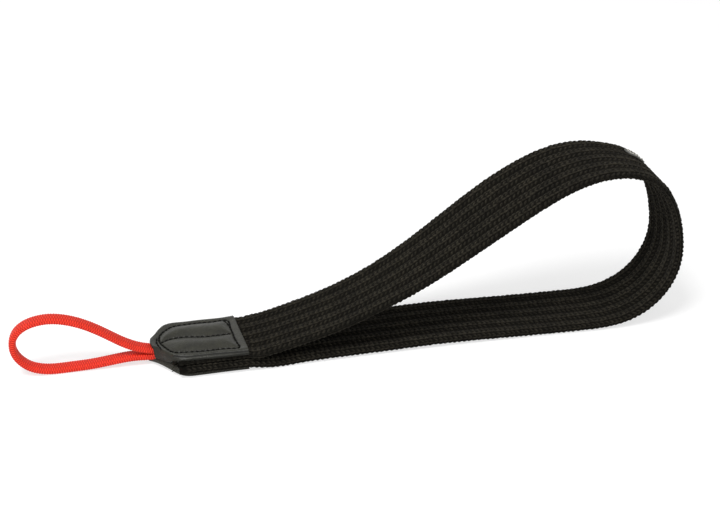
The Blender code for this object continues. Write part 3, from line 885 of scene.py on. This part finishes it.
def make_frayed_ends():
    """Loose yarn ends of the band's two cuts, between the covers."""
    shares = np.linspace(-0.5, 0.5, 5)
    arcs = []
    for along, near in zip((FRAYED_INSET, ALONG[-1] - FRAYED_INSET), FRAYED_NEAR):
        for _ in range(FRAYED_ENDS):
            across = rng.uniform(FRAYED_FAR, near)
            up = rng.uniform(-0.0010, 0.0010)
            base = on_band(np.array(along), np.array(across), np.array(up))
            length = rng.uniform(*FRAYED_LENGTHS)
            bend = rng.normal(0, 0.0005, 2)
            out = (shares + 0.5)[:, None]
            away = np.array([-length, rng.normal(-0.0001, 0.0004), rng.normal(0, 0.0003)])
            centres = base + out * away + out**2 * np.array([0, bend[0], bend[1]])
            centres[:, 2] = np.maximum(centres[:, 2], FRAYED_LOWEST)
            arcs.append(thread_arc(centres, rng.uniform(*FRAYED_RADII), shares))
    points, faces = pods(*(np.array(part) for part in zip(*arcs)))
    ends = add_piece("frayed_ends", points, faces, KNIT)
    each = len(points) // len(arcs)
    add_mark(ends, "crown", np.repeat(rng.uniform(0.2, 0.95, len(arcs)), each))
    return ends


# Cord loop

def make_cord():
    """Flat tubular braid along the loop, with every pick of the braid in its surface."""
    route = smooth_line(CORD_ROUTE, 900)
    length = lengths_of(route)[-1]
    rings = int(length / BRAID_PITCH * RINGS_PER_PICK)
    route = evenly_spaced(route, rings)
    ahead = unit(np.gradient(route, axis=0))
    wide = unit(np.array([0, 1, 0]) - ahead * ahead[:, 1:2])
    thin = np.cross(ahead, wide)
    sides = BRAID_COLUMNS * SIDES_PER_COLUMN
    turn = np.linspace(0, 2 * pi, 2000)
    power = 2 / CORD_SQUARENESS
    flat = np.stack([np.sign(np.cos(turn)) * np.abs(np.cos(turn)) ** power * CORD_WIDTH / 2,
                     np.sign(np.sin(turn)) * np.abs(np.sin(turn)) ** power * CORD_THICKNESS / 2,
                     0 * turn], axis=1)
    section = evenly_spaced(flat, sides + 1)[:-1]
    slope = np.roll(section, -1, axis=0) - np.roll(section, 1, axis=0)
    slope = unit(np.stack([slope[:, 1], -slope[:, 0]], axis=1))
    u = (np.arange(rings) / RINGS_PER_PICK)[:, None]
    v = (np.arange(sides) * BRAID_COLUMNS / sides)[None, :]
    a, b = u + v, u - v
    along_a, along_b = a - np.round(a), b - np.round(b)
    first_hand = (np.round(a) + np.round(b)) % 2 == 0
    length_share = np.where(first_hand, along_a, along_b)
    width_share = np.where(first_hand, along_b, along_a)
    across_pick = np.sqrt(np.clip(1 - (1.9 * width_share) ** 2, 0, 1))
    pick = across_pick * np.cos(pi * 0.9 * length_share) ** 0.6
    out = BRAID_DEPTH * (pick - 1)
    across = section[None, :, 0] + slope[None, :, 0] * out
    deep = section[None, :, 1] + slope[None, :, 1] * out
    points = route[:, None] + wide[:, None] * across[..., None] + thin[:, None] * deep[..., None]
    points[..., 2] = np.maximum(points[..., 2], TABLE_CLEARANCE)
    places, faces = closed_tube(points)
    cord = add_piece("red_cord", places, faces, BRAID, ["cord_loop"])
    # The pick height, which also shapes the surface, drives the painted shade and highlight of the
    # braid's colour
    add_mark(cord, "pick", pick)
    return cord


# Label

def make_label():
    """Thin bare patch with round corners on the band's outer face."""
    rows, columns = 26, 28
    u = np.linspace(-1, 1, rows)[:, None]
    v = np.linspace(-1, 1, columns)[None, :]
    corner = LABEL_CORNER
    bow = np.sqrt(np.clip(corner**2 - (np.abs(u) - 1 + corner) ** 2, 0, 1))
    reach = np.where(np.abs(u) > 1 - corner, 1 - corner + bow, 1.0)
    across = LABEL_ACROSS + v * reach * LABEL_WIDTH / 2
    along = LABEL_START + (u + 1) / 2 * LABEL_LENGTH + 0 * v
    dip = LABEL_DIP * np.cos(2 * pi * across / RIB_WIDTH)
    edge = np.minimum(1 - np.abs(u), 1 - np.abs(v)) / 0.12
    roll = LABEL_ROLL * (1 - np.sqrt(np.clip(edge, 0, 1)))
    outer = on_band(along, across, -(LABEL_LIFT + LABEL_THICKNESS / 2 + dip - roll))
    inner = on_band(along, across, -(LABEL_LIFT - LABEL_THICKNESS / 2 + dip + 0 * along))
    count = rows * columns
    grid = np.array(strip_faces(rows, columns, False))
    i, j = border_of(rows, columns)
    border = i * columns + j
    onward = np.roll(border, -1)
    side = np.stack([border, onward, onward + count, border + count], axis=1)
    faces = grid[:, ::-1].tolist() + (grid + count).tolist() + side.tolist()
    points = np.concatenate([outer.reshape(-1, 3), inner.reshape(-1, 3)])
    return add_piece("label", points, faces, LABEL, ["label_patch"])


def make_label_stitches():
    """Pale stitches just inside the label's rim: the label's stitching, which along its near edge
    also stands in for a painted highlight on that edge.
    """
    inset = LABEL_SEAM_INSET
    shares = np.linspace(-0.5, 0.5, 5)
    start, end = LABEL_START + inset, LABEL_START + LABEL_LENGTH - inset
    far, near = LABEL_ACROSS - LABEL_WIDTH / 2 + inset, LABEL_ACROSS + LABEL_WIDTH / 2 - inset
    corners = np.array([(start, far), (start, near), (end, near), (end, far), (start, far)])
    arcs = []
    for one, other in zip(corners, corners[1:]):
        count = round(np.linalg.norm(other - one) / LABEL_STITCH)
        for k in range(count):
            share = (k + 0.5 + 0.72 * shares) / count
            along, across = (one[c] + (other[c] - one[c]) * share for c in (0, 1))
            arch = LABEL_THREAD_RISE - THREAD_DIVE * (2 * np.abs(shares)) ** 3
            dip = LABEL_DIP * np.cos(2 * pi * across / RIB_WIDTH)
            centres = on_band(along, across, -(LABEL_LIFT + LABEL_THICKNESS / 2 + dip + arch))
            arcs.append(thread_arc(centres, LABEL_THREAD_RADIUS, shares))
    points, faces = pods(*(np.array(part) for part in zip(*arcs)))
    return add_piece("label_stitches", points, faces, PALE_THREAD, ["label_patch"])


# Table, light and camera

def white_ground():
    """Large pale table. The camera and mirror-like surfaces see it nearly white, and shadows
    stay on it."""
    size = 6.0
    mesh = bpy.data.meshes.new("table")
    corners = [(-size, -size, 0), (size, -size, 0), (size, size, 0), (-size, size, 0)]
    mesh.from_pydata(corners, [], [(0, 1, 2, 3)])
    table = bpy.data.objects.new("table", mesh)
    bpy.context.scene.collection.objects.link(table)
    material = bpy.data.materials.new("white_table")
    material.use_nodes = True
    tree = material.node_tree
    tree.nodes.clear()
    result = tree.nodes.new("ShaderNodeOutputMaterial")
    diffuse = tree.nodes.new("ShaderNodeBsdfDiffuse")
    diffuse.inputs["Color"].default_value = (0.80, 0.80, 0.80, 1)
    seen = tree.nodes.new("ShaderNodeBsdfDiffuse")
    seen.inputs["Color"].default_value = (0.44, 0.44, 0.44, 1)
    glow = tree.nodes.new("ShaderNodeEmission")
    glow.inputs["Strength"].default_value = 0.66
    both = tree.nodes.new("ShaderNodeAddShader")
    tree.links.new(seen.outputs[0], both.inputs[0])
    tree.links.new(glow.outputs[0], both.inputs[1])
    mixed = tree.nodes.new("ShaderNodeMixShader")
    tree.links.new(clear_rays(tree), mixed.inputs["Fac"])
    tree.links.new(diffuse.outputs[0], mixed.inputs[1])
    tree.links.new(both.outputs[0], mixed.inputs[2])
    tree.links.new(mixed.outputs[0], result.inputs["Surface"])
    mesh.materials.append(material)


def light_world():
    world = bpy.data.worlds.new("studio")
    bpy.context.scene.world = world
    world.use_nodes = True
    tree = world.node_tree
    tree.nodes.clear()
    result = tree.nodes.new("ShaderNodeOutputWorld")
    ambient = tree.nodes.new("ShaderNodeBackground")
    direction = tree.nodes.new("ShaderNodeTexCoord")
    split = tree.nodes.new("ShaderNodeSeparateXYZ")
    tree.links.new(direction.outputs["Generated"], split.inputs[0])
    high = ramp(tree, split.outputs["Z"], 0.35, 0.90, (1, 1, 1), (0.35, 0.35, 0.35))
    depth = spread(tree, split.outputs["Y"], 0.0, 1.0, -1.0)
    front = ramp(tree, depth, 0.20, 0.80, (1, 1, 1), (0.28, 0.28, 0.28))
    tree.links.new(multiply(tree, high, front), ambient.inputs["Color"])
    ambient.inputs["Strength"].default_value = 1.20
    white = tree.nodes.new("ShaderNodeBackground")
    white.inputs["Color"].default_value = (1, 1, 1, 1)
    white.inputs["Strength"].default_value = 1.0
    mixed = tree.nodes.new("ShaderNodeMixShader")
    tree.links.new(clear_rays(tree), mixed.inputs["Fac"])
    tree.links.new(ambient.outputs[0], mixed.inputs[1])
    tree.links.new(white.outputs[0], mixed.inputs[2])
    tree.links.new(mixed.outputs[0], result.inputs["Surface"])


def add_lamp(name, place, aim, size, power):
    data = bpy.data.lights.new(name, "AREA")
    data.shape = "DISK"
    data.size = size
    data.energy = power
    lamp = bpy.data.objects.new(name, data)
    lamp.location = place
    lamp.rotation_euler = (Vector(aim) - Vector(place)).to_track_quat("-Z", "Y").to_euler()
    bpy.context.scene.collection.objects.link(lamp)


def add_camera():
    azimuth, elevation = radians(CAMERA_AZIMUTH), radians(CAMERA_ELEVATION)
    back = Vector((-sin(azimuth) * cos(elevation), -cos(azimuth) * cos(elevation), sin(elevation)))
    data = bpy.data.cameras.new("camera")
    data.sensor_width = 36
    data.lens = CAMERA_LENS
    data.clip_start = 0.01
    camera = bpy.data.objects.new("camera", data)
    camera.location = Vector(LOOK_AT) + back * CAMERA_DISTANCE
    camera.rotation_euler = back.to_track_quat("Z", "Y").to_euler()
    bpy.context.scene.collection.objects.link(camera)
    bpy.context.scene.camera = camera


add_camera()
make_cord()
make_core()
for rib in range(RIB_COUNT):
    make_rib(rib)
_, top_tree = make_cover("top_leather", TOP_SHEET, 1, ["top_cover"])
_, bottom_tree = make_cover("bottom_leather", BOTTOM_SHEET, -1, ["bottom_cover"])
make_stitches("edge_stitches_top", EDGE_LINE, True, top_tree, 1, ["edge_thread_top"])
make_stitches("middle_stitches_top", MIDDLE_LINE, False, top_tree, 1, ["middle_thread_top"])
make_stitches("edge_stitches_bottom", EDGE_LINE, True, bottom_tree, -1, ["edge_thread_bottom"])
make_stitches("middle_stitches_bottom", MIDDLE_LINE, False, bottom_tree, -1,
              ["middle_thread_bottom"])
make_stitches("tip_stitches_top", TIP_LINE, False, top_tree, 1, ["edge_thread_top"])
make_stitches("corner_stitches_top", CORNER_LINE, False, top_tree, 1, ["edge_thread_top"])
make_frayed_ends()
make_label()
make_label_stitches()
white_ground()
light_world()
add_lamp("key", place=(-0.27, -0.36, 0.84), aim=(0.04, 0.0, 0.0), size=0.30, power=5.6)
add_lamp("back", place=(-0.20, 0.60, 0.50), aim=(0.03, 0.0, 0.0), size=0.40, power=0.5)
bpy.context.scene.view_settings.view_transform = "Standard"
